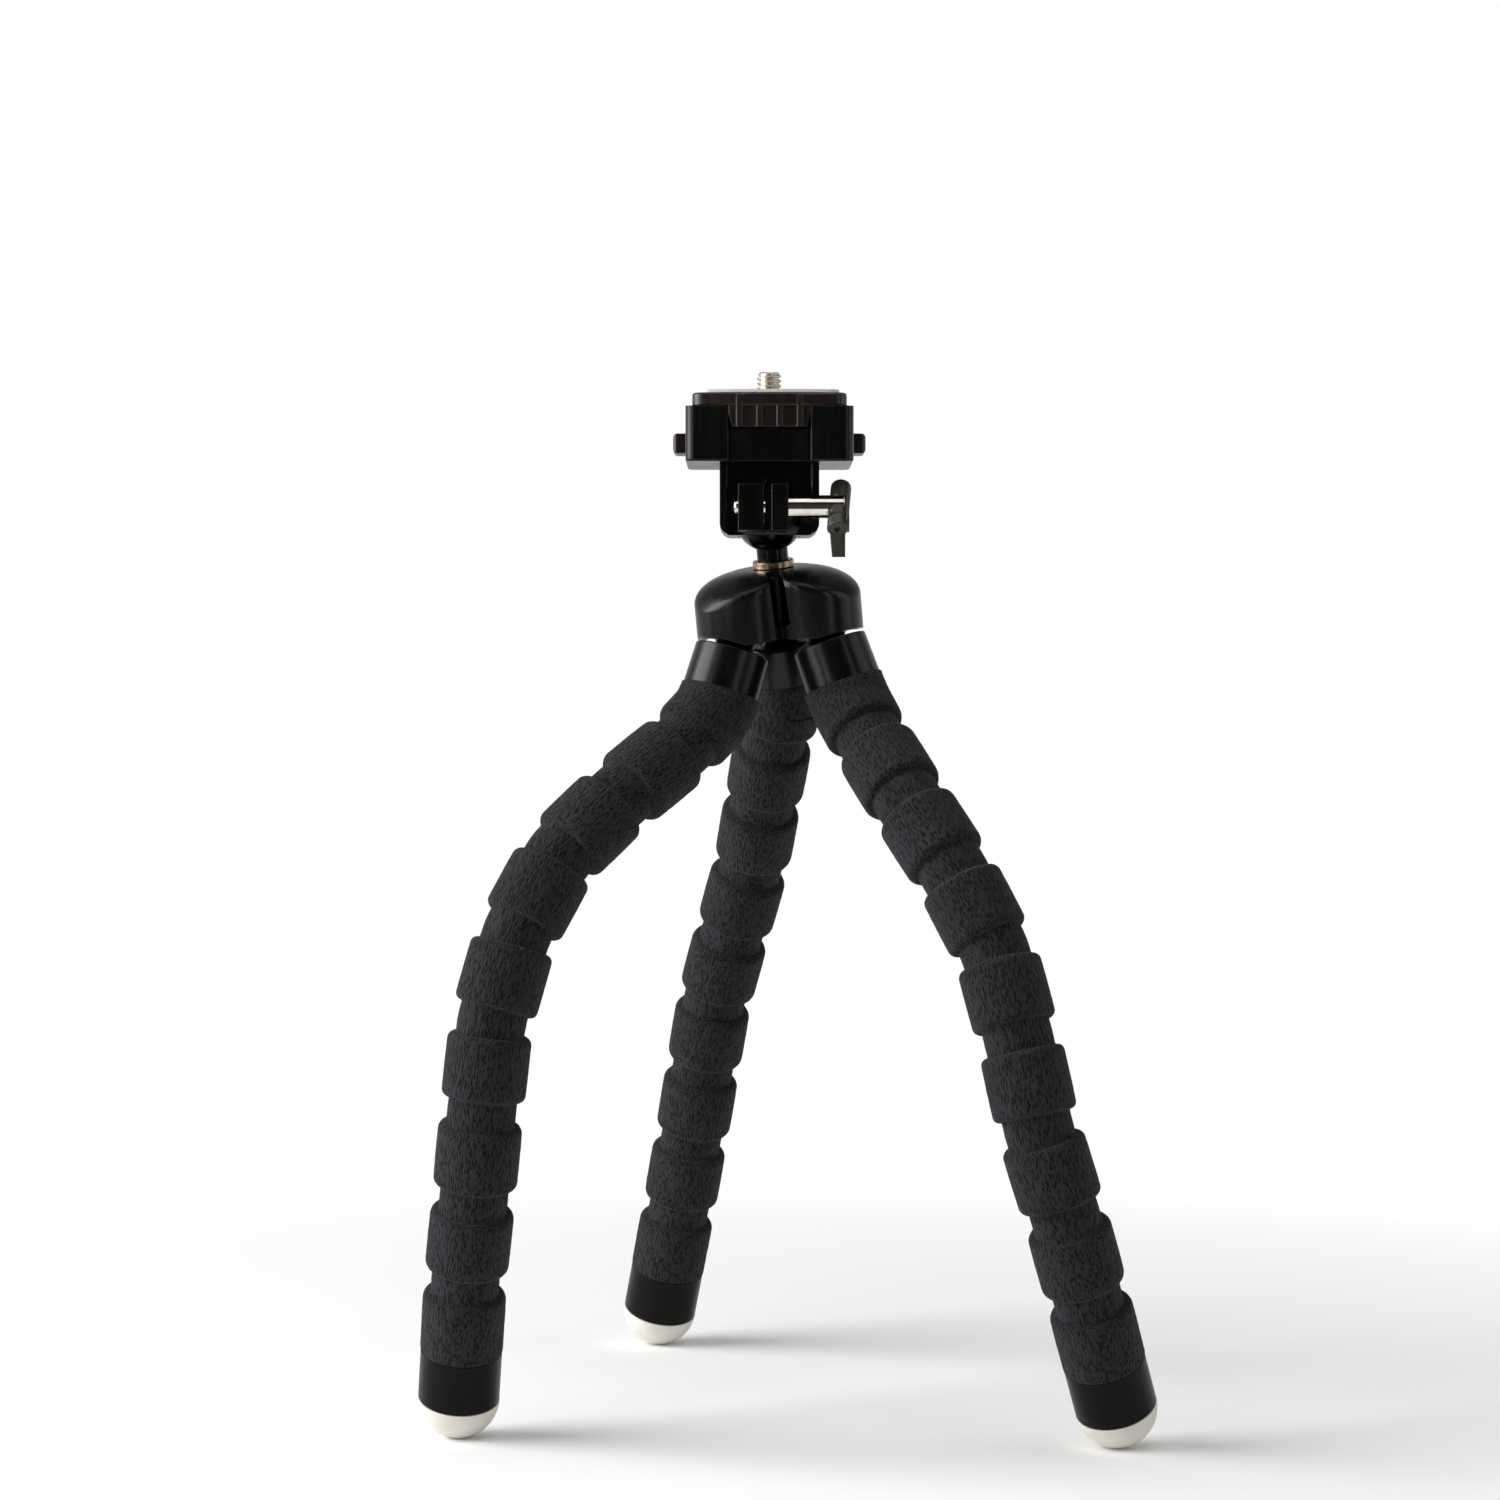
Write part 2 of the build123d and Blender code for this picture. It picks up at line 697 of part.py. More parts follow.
# Lock screw, turned in one piece with its plain rod
with BuildPart() as lock_screw:
    tip = screw_line - Vector(lug_left + thread_tip, 0, 0)
    with BuildSketch(Plane(origin=tip, z_dir=(1, 0, 0))):
        Circle(thread_radius)
    extrude(amount=lug_left + thread_tip + lug_right + shoulder_gap)
    fillet(lock_screw.edges().filter_by(GeomType.CIRCLE).sort_by(Axis.X)[0], radius=tip_dome)
    shoulder = screw_line + Vector(lug_right + shoulder_gap, 0, 0)
    with BuildSketch(Plane(origin=shoulder, z_dir=(1, 0, 0))):
        Circle(rod_radius)
    extrude(amount=rod_end - lug_right - shoulder_gap)
    chamfer(lock_screw.edges().filter_by(GeomType.CIRCLE).sort_by(Axis.X)[-1], length=rod_chamfer)
save(lock_screw.part, "lock_screw")

# Lock lever: a slanted bar across the rod, a thin cheek over its end and a tail
lever_way = heading(lever_lean, lever_azimuth)
lever_middle = screw_line + Vector(lever_centre, 0, 0)
with BuildPart() as lock_lever:
    with BuildSketch(Plane(origin=lever_middle - lever_way * lever_half_length, z_dir=lever_way)):
        Circle(lever_radius)
    extrude(amount=2 * lever_half_length)
    fillet(lock_lever.edges().filter_by(GeomType.CIRCLE).sort_by(Axis.Z)[-1], radius=lever_top_rounding)
    fillet(lock_lever.edges().filter_by(GeomType.CIRCLE).sort_by(Axis.Z)[0], radius=lever_rounding)
    cheek = Plane(origin=screw_line + Vector(rod_end + lever_fit, 0, 0), x_dir=(0, 1, 0), z_dir=(1, 0, 0))
    cheek_angle = 90 - lever_lean
    with BuildSketch(cheek):
        with Locations(Location((0, 0), cheek_angle)):
            SlotCenterToCenter(2 * (lever_half_length - lever_radius) - lever_rounding, 2 * lever_radius)
    extrude(amount=cheek_thickness)
    with BuildSketch(Plane(origin=screw_line + Vector(0, 0, -tail_top))):
        with Locations(((tail_left + tail_right) / 2, -(tail_front + tail_back) / 2)):
            Rectangle(tail_right - tail_left, tail_front - tail_back)
    with BuildSketch(Plane(origin=screw_line + Vector(0, 0, -tail_tip))):
        with Locations(((tail_tip_left + tail_right) / 2, -(tail_tip_front + tail_tip_back) / 2)):
            Rectangle(tail_right - tail_tip_left, tail_tip_front - tail_tip_back)
    loft(ruled=True)
    with BuildSketch(Plane(origin=screw_line, z_dir=(1, 0, 0))):
        Circle(rod_radius + lever_fit)
    extrude(amount=rod_end + lever_fit, mode=Mode.SUBTRACT)
    dimple_place = lever_middle + lever_way * lever_half_length
    with BuildSketch(Plane(origin=dimple_place, z_dir=-lever_way)):
        Circle(dimple_radius)
    extrude(amount=dimple_depth, mode=Mode.SUBTRACT)
save(lock_lever.part, "lock_lever")

# Clamp body
half_clamp, half_depth = clamp_width / 2, clamp_depth / 2
clamp_top = socket_rise + clamp_height
floor_top = socket_rise + clamp_floor
panel_top = clamp_top - clamp_panel_drop
pocket_half_x, pocket_half_y = half_clamp - clamp_side_wall, half_depth - clamp_end_wall
deck_bottom = panel_top - deck_thickness
button_low = socket_rise + button_bottom
button_high = button_low + button_height
with BuildPart() as clamp_body:
    with BuildSketch(head.offset(socket_rise)):
        RectangleRounded(clamp_width, clamp_depth, clamp_corner)
    extrude(amount=clamp_height)
    fillet(clamp_body.faces().sort_by(Axis.Z)[0].edges(), radius=clamp_edge)
    block((-pocket_half_x, -pocket_half_y, floor_top), (pocket_half_x, pocket_half_y, clamp_top), Mode.SUBTRACT)
    for front, back in ((-half_depth, -pocket_half_y), (pocket_half_y, half_depth)):
        block((-clamp_gap_half, front, panel_top), (clamp_gap_half, back, clamp_top), Mode.SUBTRACT)
    for side in (-1, 1):
        with BuildSketch(head.offset(socket_rise)):
            with BuildLine():
                edge_y = side * (half_depth - clamp_panel_inset)
                ThreePointArc(
                    (-clamp_gap_half, edge_y),
                    (0, edge_y + side * clamp_panel_bow),
                    (clamp_gap_half, edge_y),
                )
                Line((clamp_gap_half, edge_y), (clamp_gap_half, side * (half_depth + clamp_panel_bow)))
                Line(
                    (clamp_gap_half, side * (half_depth + clamp_panel_bow)),
                    (-clamp_gap_half, side * (half_depth + clamp_panel_bow)),
                )
                Line((-clamp_gap_half, side * (half_depth + clamp_panel_bow)), (-clamp_gap_half, edge_y))
            make_face()
        extrude(amount=clamp_height, mode=Mode.SUBTRACT)
    slot_half = button_width / 2 + button_slot_fit
    for x_low, x_high in ((-half_clamp, -pocket_half_x), (pocket_half_x, half_clamp)):
        block(
            (x_low, -slot_half, button_low - button_slot_fit),
            (x_high, slot_half, button_high + button_slot_fit),
            Mode.SUBTRACT,
        )
    with BuildSketch(head.offset(socket_rise)):
        with GridLocations(2 * clamp_screw_x, 2 * clamp_screw_y, 2, 2):
            Circle(clamp_screw_radius + screw_fit)
    extrude(amount=clamp_floor, mode=Mode.SUBTRACT)
    with BuildSketch(head.offset(floor_top)):
        with GridLocations(2 * clamp_screw_x, 2 * clamp_screw_y, 2, 2):
            Circle(clamp_screw_head + screw_fit)
    extrude(amount=-clamp_screw_head_height, mode=Mode.SUBTRACT)
save(clamp_body.part, "clamp_body")

with BuildPart() as clamp_screws:
    with BuildSketch(head.offset(floor_top - screw_fit)):
        with GridLocations(2 * clamp_screw_x, 2 * clamp_screw_y, 2, 2):
            Circle(clamp_screw_head)
    extrude(amount=-(clamp_screw_head_height - 2 * screw_fit))
    with BuildSketch(head.offset(floor_top - screw_fit)):
        with GridLocations(2 * clamp_screw_x, 2 * clamp_screw_y, 2, 2):
            Circle(clamp_screw_radius)
    extrude(amount=-(clamp_floor + clamp_screw_length - 2 * screw_fit))
save(clamp_screws.part, "clamp_screws")

# Deck over the latch sliders, with a slot for each latch
with BuildPart() as clamp_deck:
    block(
        (-pocket_half_x + plug_fit, -pocket_half_y + plug_fit, deck_bottom),
        (pocket_half_x - plug_fit, pocket_half_y - plug_fit, panel_top),
    )
    for side in (-1, 1):
        slot_middle = side * (latch_inner + latch_outer + latch_lip) / 2
        with BuildSketch(head.offset(deck_bottom)):
            with Locations((slot_middle - side * deck_slot_length / 4, 0)):
                Rectangle(deck_slot_length * 3 / 2, deck_slot_width)
            with Locations((side * pocket_half_x, 0)):
                Rectangle(2 * deck_notch, button_width + 2 * button_slot_fit)
        extrude(amount=deck_thickness, mode=Mode.SUBTRACT)
save(clamp_deck.part, "clamp_deck")

# Release buttons, each with its slider and latch
for name, side in (("left_button", -1), ("right_button", 1)):
    slider_low = floor_top + slider_play
    slider_high = slider_low + slider_height
    inner_x, slider_x = side * slider_inner, side * (pocket_half_x - slider_play)
    cap_x = side * (half_clamp + button_reach)
    lip_top = panel_top + latch_rise
    with BuildPart() as button:
        block(
            (min(slider_x - side * button_rounding, cap_x), -button_width / 2, button_low),
            (max(slider_x - side * button_rounding, cap_x), button_width / 2, button_high),
        )
        outer_face = button.faces().sort_by(Axis.X)[0 if side < 0 else -1]
        fillet(outer_face.edges(), radius=button_rounding)
        block(
            (min(inner_x, slider_x), -slider_width / 2, slider_low),
            (max(inner_x, slider_x), slider_width / 2, slider_high),
        )
        latch_x = (side * latch_inner, side * latch_outer)
        block((min(latch_x), -latch_width / 2, slider_low), (max(latch_x), latch_width / 2, lip_top))
        lip_x = (side * latch_inner, side * (latch_outer + latch_lip))
        block((min(lip_x), -latch_width / 2, lip_top - latch_lip_height), (max(lip_x), latch_width / 2, lip_top))
        for offset in (-spring_offset, spring_offset):
            pocket_place = head.from_local_coords(Vector(inner_x, offset, slider_low + slider_height / 2))
            with BuildSketch(Plane(origin=pocket_place, z_dir=(side, 0, 0))):
                Circle(spring_radius + spring_wire)
            extrude(amount=spring_pocket, mode=Mode.SUBTRACT)
    save(button.part, name)

# The two return springs between the sliders
spring_half = slider_inner + spring_pocket - spring_seat - spring_wire
slider_middle = floor_top + slider_play + slider_height / 2
with BuildPart() as latch_springs:
    for offset in (-spring_offset, spring_offset):
        start = head.from_local_coords(Vector(-spring_half, offset, slider_middle))
        with BuildLine() as coil:
            Helix(2 * spring_half / spring_turns, 2 * spring_half, spring_radius, center=start, direction=(1, 0, 0))
        with BuildSketch(Plane(origin=coil.line @ 0, z_dir=coil.line % 0)):
            Circle(spring_wire)
        sweep(path=coil.wires()[0])
save(latch_springs.part, "latch_springs")

# Quick release plate
plate_top = clamp_top + plate_proud
half_plate, half_plate_depth = plate_width / 2, plate_depth / 2
key_half_x, key_half_y = pocket_half_x - plate_fit, pocket_half_y - plate_fit


def plate_outline(inset):
    """The plate's plan, with bowed front and back edges."""
    half_x, half_y = half_plate - inset, half_plate_depth - inset
    with BuildSketch(head.offset(clamp_top + plate_fit)) as plan:
        with BuildLine():
            for side in (-1, 1):
                ThreePointArc((-half_x, side * half_y), (0, side * (half_y + plate_bow)), (half_x, side * half_y))
                Line((side * half_x, -half_y), (side * half_x, half_y))
        make_face()
        fillet(plan.vertices(), radius=plate_corner)
    return plan.sketch


with BuildPart() as quick_release_plate:
    extrude(plate_outline(0), amount=plate_proud - plate_fit)
    top_edges = quick_release_plate.faces().sort_by(Axis.Z)[-1].edges()
    fillet(top_edges, radius=plate_edge)
    block((-key_half_x, -key_half_y, panel_top + plate_fit), (key_half_x, key_half_y, clamp_top + plate_fit))
    for side in (-1, 1):
        front_y = side * half_depth
        tongue_plane = Plane(
            origin=head.from_local_coords(Vector(0, front_y, plate_top)), x_dir=(1, 0, 0), z_dir=(0, side, 0)
        )
        down = tongue_plane.y_dir.Z
        with BuildSketch(tongue_plane):
            Polygon(
                (-tongue_half, -down * plate_edge),
                (tongue_half, -down * plate_edge),
                (tongue_half, -down * (tongue_drop - plate_proud)),
                (tongue_foot_half, -down * (tongue_drop - plate_fit)),
                (-tongue_foot_half, -down * (tongue_drop - plate_fit)),
                (-tongue_half, -down * (tongue_drop - plate_proud)),
                align=None,
            )
        extrude(amount=-tongue_thickness)
        for number in range(rib_count):
            rib_x = (number - (rib_count - 1) / 2) * rib_spacing
            low_y, high_y = sorted((front_y - side * rib_width, front_y + side * rib_height))
            block(
                (rib_x - rib_width / 2, low_y, plate_top - tongue_drop + plate_fit),
                (rib_x + rib_width / 2, high_y, plate_top - plate_edge),
            )
    cavity_x, cavity_y = key_half_x - plate_wall, key_half_y - plate_wall
    cavity_low = panel_top + plate_fit + plate_bottom_wall
    block((-cavity_x, -cavity_y, cavity_low), (cavity_x, cavity_y, plate_top - plate_roof), Mode.SUBTRACT)
    window = plate_window_width / 2
    block((-ledge_inner, -window, panel_top), (ledge_inner, window, plate_top - plate_roof), Mode.SUBTRACT)
    with BuildSketch(head.offset(plate_top)):
        Circle(camera_radius + screw_fit)
    extrude(amount=-plate_roof, mode=Mode.SUBTRACT)
    with BuildSketch(head.offset(plate_top)):
        Circle(ring_outer + screw_fit)
    extrude(amount=-(ring_thickness + ring_recess), mode=Mode.SUBTRACT)
    pad_plan = plate_outline(pad_inset).moved(Location((0, 0, plate_proud - plate_fit)))
    extrude(pad_plan, amount=-pad_recess, mode=Mode.SUBTRACT)
save(quick_release_plate.part, "quick_release_plate")

with BuildPart() as plate_pad:
    pad_plan = plate_outline(pad_inset + plug_fit).moved(Location((0, 0, plate_proud - plate_fit - pad_recess)))
    extrude(pad_plan, amount=pad_thickness + pad_recess)
    with BuildSketch(head.offset(plate_top - pad_recess)):
        Circle(pad_hole)
    extrude(amount=pad_thickness + pad_recess, mode=Mode.SUBTRACT)
save(plate_pad.part, "plate_pad")

# Camera screw and the ring that keeps it in the plate
ring_low = plate_top - ring_thickness - ring_recess + running_gap
with BuildPart() as camera_screw:
    head_top = plate_top - plate_roof - running_gap
    with BuildSketch(head.offset(head_top)):
        Circle(camera_head_radius)
    extrude(amount=-camera_head_height)
    with BuildSketch(head.offset(head_top)):
        Circle(camera_radius)
    extrude(amount=plate_top + camera_length + pad_thickness - head_top)
    chamfer(camera_screw.edges().filter_by(GeomType.CIRCLE).sort_by(Axis.Z)[-1], length=camera_tip_chamfer)
    with BuildSketch(head.offset(ring_low)):
        Circle(camera_radius)
        Circle(camera_relief, mode=Mode.SUBTRACT)
    extrude(amount=ring_thickness, mode=Mode.SUBTRACT)
    with BuildSketch(head.offset(head_top - camera_head_height)):
        Rectangle(2 * camera_head_radius, camera_slot_width)
    extrude(amount=camera_slot_depth, mode=Mode.SUBTRACT)
save(camera_screw.part, "camera_screw")

with BuildPart() as retaining_ring:
    with BuildSketch(head.offset(ring_low)):
        Circle(ring_outer - running_gap)
        Circle(camera_relief + lever_fit, mode=Mode.SUBTRACT)
        with Locations((ring_outer / 2, 0)):
            Rectangle(ring_outer, camera_relief, mode=Mode.SUBTRACT)
    extrude(amount=ring_thickness)
save(retaining_ring.part, "retaining_ring")
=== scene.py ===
import json
import math

import bpy
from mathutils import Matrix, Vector, noise


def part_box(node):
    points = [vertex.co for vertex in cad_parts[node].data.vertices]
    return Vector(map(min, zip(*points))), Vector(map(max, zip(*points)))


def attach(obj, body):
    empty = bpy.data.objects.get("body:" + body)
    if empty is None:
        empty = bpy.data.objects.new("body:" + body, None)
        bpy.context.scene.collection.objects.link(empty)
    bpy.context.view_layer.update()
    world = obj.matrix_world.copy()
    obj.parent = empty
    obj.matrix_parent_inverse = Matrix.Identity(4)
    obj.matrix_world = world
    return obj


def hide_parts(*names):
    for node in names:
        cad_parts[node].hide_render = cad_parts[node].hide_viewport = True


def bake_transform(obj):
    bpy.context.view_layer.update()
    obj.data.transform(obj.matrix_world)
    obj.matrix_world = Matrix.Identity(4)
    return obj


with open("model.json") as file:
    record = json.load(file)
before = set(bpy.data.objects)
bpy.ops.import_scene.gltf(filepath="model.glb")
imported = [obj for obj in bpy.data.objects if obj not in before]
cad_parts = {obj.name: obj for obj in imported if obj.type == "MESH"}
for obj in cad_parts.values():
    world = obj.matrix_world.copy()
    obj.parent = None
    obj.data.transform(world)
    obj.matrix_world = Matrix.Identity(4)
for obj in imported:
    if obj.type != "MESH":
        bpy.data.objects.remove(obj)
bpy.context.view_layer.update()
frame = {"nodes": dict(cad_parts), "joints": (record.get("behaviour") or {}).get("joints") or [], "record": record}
nodes = frame["nodes"]
joints = {joint["name"]: joint for joint in frame["joints"]}
slots = {part["node"]: part["material_slot"] for part in frame["record"]["subparts"]}
scene = bpy.context.scene
MM = 0.001
LEGS = ("left", "right", "back")

# Camera: where the photograph was taken from, a long lens that looks down by under a degree
CAMERA_PLACE = (-8.9, -994.2, 190.3)  # millimetres
CAMERA_DIP = 0.91  # degrees below level
CAMERA_LENS = 89.0
camera_data = bpy.data.cameras.new("camera")
camera_data.sensor_width = 36
camera_data.lens = CAMERA_LENS
camera_data.clip_start, camera_data.clip_end = 0.05, 100
camera = bpy.data.objects.new("camera", camera_data)
camera.location = Vector(CAMERA_PLACE) * MM
camera.rotation_euler = (math.radians(90 - CAMERA_DIP), 0, 0)
scene.collection.objects.link(camera)
scene.camera = camera
scene.view_settings.view_transform = "Standard"


class Nodes:
    """A short way to build the node tree of a material or of the world."""

    def __init__(self, owner, output):
        owner.use_nodes = True
        self.owner = owner
        self.tree = owner.node_tree
        self.tree.nodes.clear()
        self.out = self.add(output)

    def add(self, kind, **values):
        node = self.tree.nodes.new(kind)
        for key, value in values.items():
            setattr(node, key, value)
        return node

    def link(self, start, end):
        self.tree.links.new(start, end)

    def feed(self, socket, value):
        """Link another node's output to a socket, or set a constant on it."""
        if hasattr(value, "is_output"):
            self.link(value, socket)
        else:
            socket.default_value = value

    def surface(self, output):
        self.link(output, self.out.inputs["Surface"])

    def shader(self, **sockets):
        node = self.add("ShaderNodeBsdfPrincipled")
        for name, value in sockets.items():
            self.feed(node.inputs[name.replace("_", " ")], value)
        self.surface(node.outputs["BSDF"])

    def coords(self, scale=(1, 1, 1), attribute=None):
        if attribute:
            source = self.add("ShaderNodeAttribute", attribute_name=attribute).outputs["Vector"]
        else:
            source = self.add("ShaderNodeTexCoord").outputs["Object"]
        mapping = self.add("ShaderNodeMapping")
        mapping.inputs["Scale"].default_value = scale
        self.link(source, mapping.inputs["Vector"])
        return mapping.outputs["Vector"]

    def noise(self, vector, scale, detail, rough):
        node = self.add("ShaderNodeTexNoise")
        node.inputs["Scale"].default_value = scale
        node.inputs["Detail"].default_value = detail
        node.inputs["Roughness"].default_value = rough
        self.link(vector, node.inputs["Vector"])
        return node.outputs["Fac"]

    def cells(self, vector, scale):
        node = self.add("ShaderNodeTexVoronoi", feature="F1")
        node.inputs["Scale"].default_value = scale
        self.link(vector, node.inputs["Vector"])
        return node.outputs["Distance"]

    def ramp(self, factor, stops):
        node = self.add("ShaderNodeValToRGB")
        while len(node.color_ramp.elements) < len(stops):
            node.color_ramp.elements.new(0.5)
        for element, (place, colour) in zip(node.color_ramp.elements, stops):
            element.position = place
            element.color = (*colour, 1)
        self.link(factor, node.inputs["Fac"])
        return node.outputs["Color"]

    def span(self, factor, ends, results, kind="LINEAR"):
        """Spread a factor from one range over another, and hold it at the ends."""
        node = self.add("ShaderNodeMapRange", interpolation_type=kind)
        for socket, number in zip(("From Min", "From Max", "To Min", "To Max"), (*ends, *results)):
            node.inputs[socket].default_value = number
        self.link(factor, node.inputs["Value"])
        return node.outputs["Result"]

    def math(self, operation, first, second):
        node = self.add("ShaderNodeMath", operation=operation)
        self.feed(node.inputs[0], first)
        self.feed(node.inputs[1], second)
        return node.outputs["Value"]

    def mix(self, factor, first, second, blend="MIX"):
        """Two colours mixed. They go in at the node's inputs 6 and 7, and out at its output 2."""
        node = self.add("ShaderNodeMix", data_type="RGBA", blend_type=blend)
        self.feed(node.inputs[0], factor)
        for socket, value in ((node.inputs[6], first), (node.inputs[7], second)):
            self.feed(socket, (*value, 1) if isinstance(value, tuple) else value)
        return node.outputs[2]

    def bump(self, height, distance, strength, normal=None):
        node = self.add("ShaderNodeBump")
        node.inputs["Strength"].default_value = strength
        node.inputs["Distance"].default_value = distance
        self.link(height, node.inputs["Height"])
        if normal is not None:
            self.link(normal, node.inputs["Normal"])
        return node.outputs["Normal"]

    def rounded(self, radius):
        node = self.add("ShaderNodeBevel", samples=6)
        node.inputs["Radius"].default_value = radius
        return node.outputs["Normal"]


def material_nodes(name):
    return Nodes(bpy.data.materials.new(name), "ShaderNodeOutputMaterial")


# Materials
# The foam's colour along its fine pattern: dark and brownish where the bump is low, which is painted shade in the
# pits, and light and bluish where it is high, which is painted light on the fibres
PAINTED_PIT_SHADE_AND_FIBRE_LIGHT = (
    (0.41, (0.0022, 0.0014, 0.001)),
    (0.5, (0.0128, 0.0108, 0.0107)),
    (0.63, (0.0235, 0.0235, 0.0262)),
)
BROAD_TONES = ((0.3, (0.84, 0.8, 0.78)), (0.7, (1.08, 1.08, 1.12)))


def foam_material():
    """Closed-cell foam: charcoal, with fine fibrous bumps that run along the leg, painted shade in their pits and
    painted light on their ridges.
    """
    look = material_nodes("foam")
    along = look.coords((1, 1, 0.3), "straight")
    even = look.coords((1, 1, 1), "straight")
    fibres = look.noise(along, scale=2700, detail=2.5, rough=0.55)
    pebbles = look.cells(along, scale=1900)
    broad = look.noise(even, scale=95, detail=2.0, rough=0.5)
    fine = look.math("ADD", look.math("MULTIPLY", fibres, 0.62), look.math("MULTIPLY", pebbles, 0.55))
    height = look.math("ADD", fine, look.math("MULTIPLY", broad, 0.8))
    look.shader(
        # Base colour: painted shade in the pits and painted light on the fibres, times a broad random tone
        Base_Color=look.mix(1.0, look.ramp(fine, PAINTED_PIT_SHADE_AND_FIBRE_LIGHT), look.ramp(broad, BROAD_TONES), blend="MULTIPLY"),
        Roughness=look.span(fine, (0.3, 0.8), (0.95, 0.8)),
        Specular_IOR_Level=0.1,
        Sheen_Weight=0.08,
        Sheen_Roughness=0.5,
        Sheen_Tint=(0.82, 0.9, 1.0, 1.0),
        Normal=look.bump(height, distance=0.0006, strength=1.0),
    )
    return look.owner


def plastic_material(name, dark, light, rough, grain, edge, specular=0.5):
    """Moulded plastic: a fine grain, faint handling marks and rounded edges."""
    look = material_nodes(name)
    place = look.coords()
    marks = look.noise(place, scale=55, detail=4.0, rough=0.6)
    grain_height = look.noise(place, scale=2600, detail=2.0, rough=0.5)
    streaks = look.noise(look.coords((1, 1, 0.12)), scale=420, detail=3.0, rough=0.6)
    wear = look.math("MULTIPLY", marks, streaks)
    look.shader(
        Base_Color=look.mix(look.span(wear, (0.12, 0.42), (0.0, 1.0)), dark, light),
        Roughness=look.span(wear, (0.1, 0.45), rough),
        Specular_IOR_Level=specular,
        Normal=look.bump(grain_height, distance=grain, strength=0.6, normal=look.rounded(edge)),
    )
    return look.owner


def metal_material(name, dark, light, rough, stretch=(1, 1, 1), edge=0.00015, scratch=0.00002):
    """Machined or plated metal, with turning marks and a little dulling."""
    look = material_nodes(name)
    marks = look.noise(look.coords(stretch), scale=900, detail=3.0, rough=0.6)
    dull = look.noise(look.coords(), scale=160, detail=3.0, rough=0.6)
    look.shader(
        Base_Color=look.mix(look.span(dull, (0.3, 0.7), (0.0, 1.0)), dark, light),
        Metallic=1.0,
        Roughness=look.span(marks, (0.25, 0.75), rough),
        Normal=look.bump(marks, distance=scratch, strength=0.5, normal=look.rounded(edge)),
    )
    return look.owner


def rubber_material(name, dark, light, rough, grain, edge=0.0002):
    """Moulded rubber: matte, with a powdery bloom and fine specks."""
    look = material_nodes(name)
    place = look.coords()
    bloom = look.noise(place, scale=120, detail=4.0, rough=0.6)
    specks = look.cells(place, scale=900)
    height = look.math("ADD", bloom, look.math("MULTIPLY", specks, 0.5))
    look.shader(
        Base_Color=look.mix(look.span(bloom, (0.3, 0.72), (0.0, 1.0)), dark, light),
        Roughness=look.span(bloom, (0.3, 0.7), rough),
        Specular_IOR_Level=0.35,
        Normal=look.bump(height, distance=grain, strength=0.6, normal=look.rounded(edge)),
    )
    return look.owner


materials = {
    "foam": foam_material(),
    "hub_plastic": plastic_material(
        "gloss_hub",
        dark=(0.0016, 0.002, 0.0014),
        light=(0.004, 0.0046, 0.0034),
        rough=(0.2, 0.32),
        grain=0.000012,
        edge=0.00045,
        specular=0.28,
    ),
    "gloss_black": plastic_material(
        "gloss_cap",
        dark=(0.0026, 0.003, 0.0022),
        light=(0.0052, 0.0056, 0.0044),
        rough=(0.3, 0.4),
        grain=0.000012,
        edge=0.0003,
        specular=0.1,
    ),
    "plate_plastic": plastic_material(
        "plate",
        dark=(0.0085, 0.0038, 0.0032),
        light=(0.0155, 0.0082, 0.0075),
        rough=(0.27, 0.4),
        grain=0.00003,
        edge=0.00042,
    ),
    "liner": plastic_material(
        "liner",
        dark=(0.45, 0.44, 0.41),
        light=(0.55, 0.54, 0.5),
        rough=(0.45, 0.6),
        grain=0.00002,
        edge=0.0002,
    ),
    "pad_rubber": rubber_material(
        "pad", dark=(0.84, 0.79, 0.765), light=(0.93, 0.9, 0.88), rough=(0.6, 0.8), grain=0.00008
    ),
    "foot_rubber": rubber_material(
        "foot", dark=(0.69, 0.655, 0.575), light=(0.78, 0.755, 0.685), rough=(0.42, 0.62), grain=0.00006
    ),
    "core_wire": metal_material("core_wire", dark=(0.4, 0.4, 0.4), light=(0.6, 0.6, 0.6), rough=(0.3, 0.5)),
    "steel": metal_material(
        "steel", dark=(0.5, 0.45, 0.36), light=(0.74, 0.69, 0.6), rough=(0.2, 0.4), stretch=(1, 1, 6)
    ),
    "stud_metal": metal_material(
        "stud", dark=(0.012, 0.012, 0.011), light=(0.03, 0.03, 0.027), rough=(0.14, 0.28), stretch=(1, 1, 8)
    ),
    "chrome": metal_material(
        "chrome",
        dark=(0.64, 0.585, 0.48),
        light=(0.88, 0.84, 0.76),
        rough=(0.07, 0.15),
        stretch=(6, 1, 1),
        edge=0.0002,
        scratch=0.000006,
    ),
    "brass": metal_material(
        "brass", dark=(0.24, 0.17, 0.095), light=(0.52, 0.42, 0.28), rough=(0.2, 0.34), stretch=(1, 1, 8)
    ),
    "lever": plastic_material(
        "lever",
        dark=(0.018, 0.0198, 0.0145),
        light=(0.038, 0.0405, 0.0315),
        rough=(0.36, 0.48),
        grain=0.00003,
        edge=0.0004,
        specular=0.6,
    ),
}
for name, node in nodes.items():
    node.data.materials.clear()
    node.data.materials.append(materials[slots[name]])


def piece(name, points, faces, slot, straight=None):
    """A smooth mesh object, in metres. straight gives each point's place on a straight leg."""
    mesh = bpy.data.meshes.new(name)
    mesh.from_pydata(points, [], faces)
    mesh.validate()
    mesh.shade_smooth()
    if straight:
        store = mesh.attributes.new("straight", "FLOAT_VECTOR", "POINT")
        store.data.foreach_set("vector", [c for p in straight for c in p])
    mesh.materials.append(materials[slot])
    obj = bpy.data.objects.new(name, mesh)
    scene.collection.objects.link(obj)
    return obj


